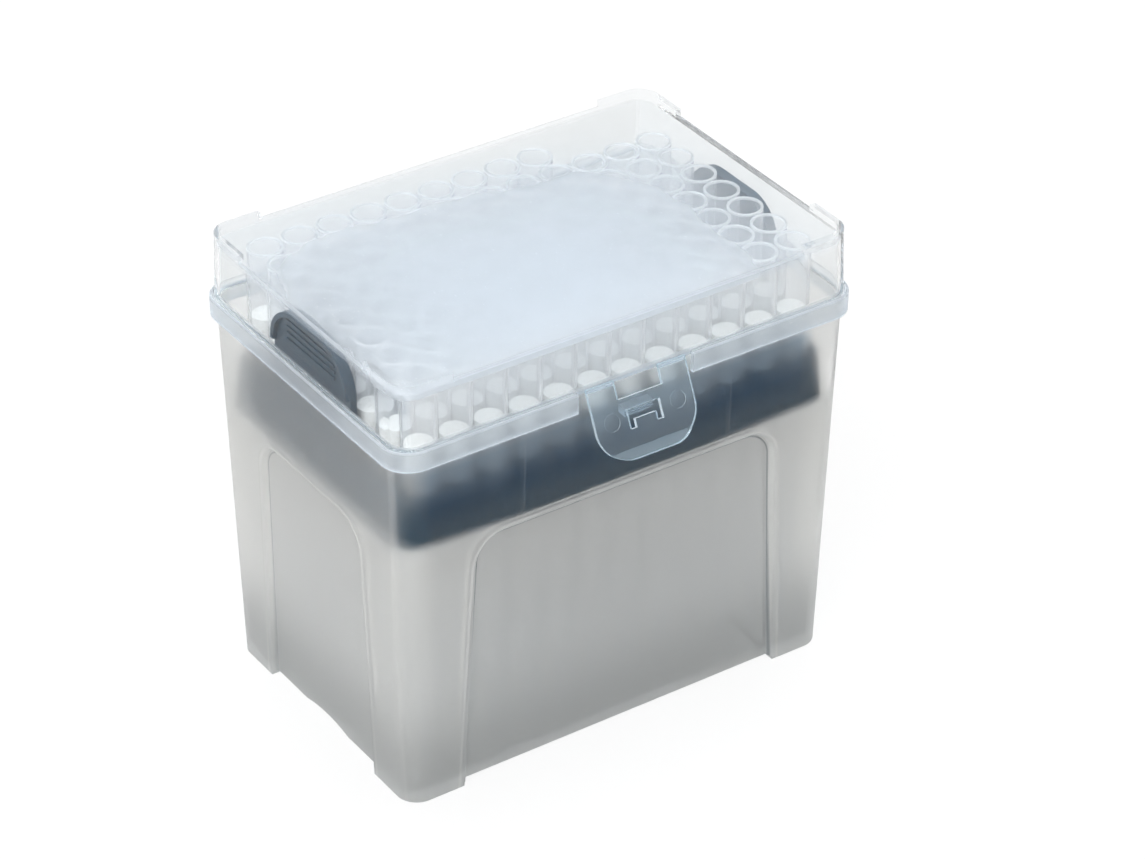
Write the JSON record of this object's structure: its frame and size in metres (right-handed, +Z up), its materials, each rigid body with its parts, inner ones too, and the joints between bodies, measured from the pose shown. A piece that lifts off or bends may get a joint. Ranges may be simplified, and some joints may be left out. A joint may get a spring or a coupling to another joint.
{
  "type": "box of pipette tips",
  "caption": "Tall frosted box with a clear hinged lid and latch tab, holding filter pipette tips upright in a dark rack.",
  "frame": {"origin": "on the surface it stands on, under the middle of the whole box's outline, latch and hinge included", "axes": "+Z up, X along the rows of twelve, -Y towards the latch"},
  "size_m": [0.1226, 0.0976, 0.1131],
  "materials": {
    "frosted_base": "natural polypropylene, moulded, frosted",
    "clear_lid": "clarified polypropylene, moulded, smooth",
    "dark_rack": "pigmented polypropylene, moulded, satin",
    "tip_plastic": "natural polypropylene, thin wall, polished",
    "filter_fibre": "sintered porous polyethylene"
  },
  "bodies": {
    "base": {"box_base": "frosted_base", "tip_rack": "dark_rack", "tips_column_01": "tip_plastic", "tips_column_02": "tip_plastic", "tips_column_03": "tip_plastic", "tips_column_04": "tip_plastic", "tips_column_05": "tip_plastic", "tips_column_06": "tip_plastic", "tips_column_07": "tip_plastic", "tips_column_08": "tip_plastic", "tips_column_09": "tip_plastic", "tips_column_10": "tip_plastic", "tips_column_11": "tip_plastic", "tips_column_12": "tip_plastic", "filters_column_01": "filter_fibre", "filters_column_02": "filter_fibre", "filters_column_03": "filter_fibre", "filters_column_04": "filter_fibre", "filters_column_05": "filter_fibre", "filters_column_06": "filter_fibre", "filters_column_07": "filter_fibre", "filters_column_08": "filter_fibre", "filters_column_09": "filter_fibre", "filters_column_10": "filter_fibre", "filters_column_11": "filter_fibre", "filters_column_12": "filter_fibre"},
    "lid": {"lid": "clear_lid"},
    "latch": {"latch_tab": "clear_lid"}
  },
  "joints": [
    {"name": "lid_hinge", "type": "hinge", "parent": "base", "child": "lid", "pos_m": [0, 0.04614, 0.0905], "axis": [-1, 0, 0], "range_deg": [0, 110]},
    {"name": "latch", "type": "hinge", "parent": "lid", "child": "latch", "pos_m": [0, -0.03998, 0.0969], "axis": [-1, 0, 0], "range_deg": [-24, 30], "stiffness_Nm_per_rad": 0.02}
  ]
}
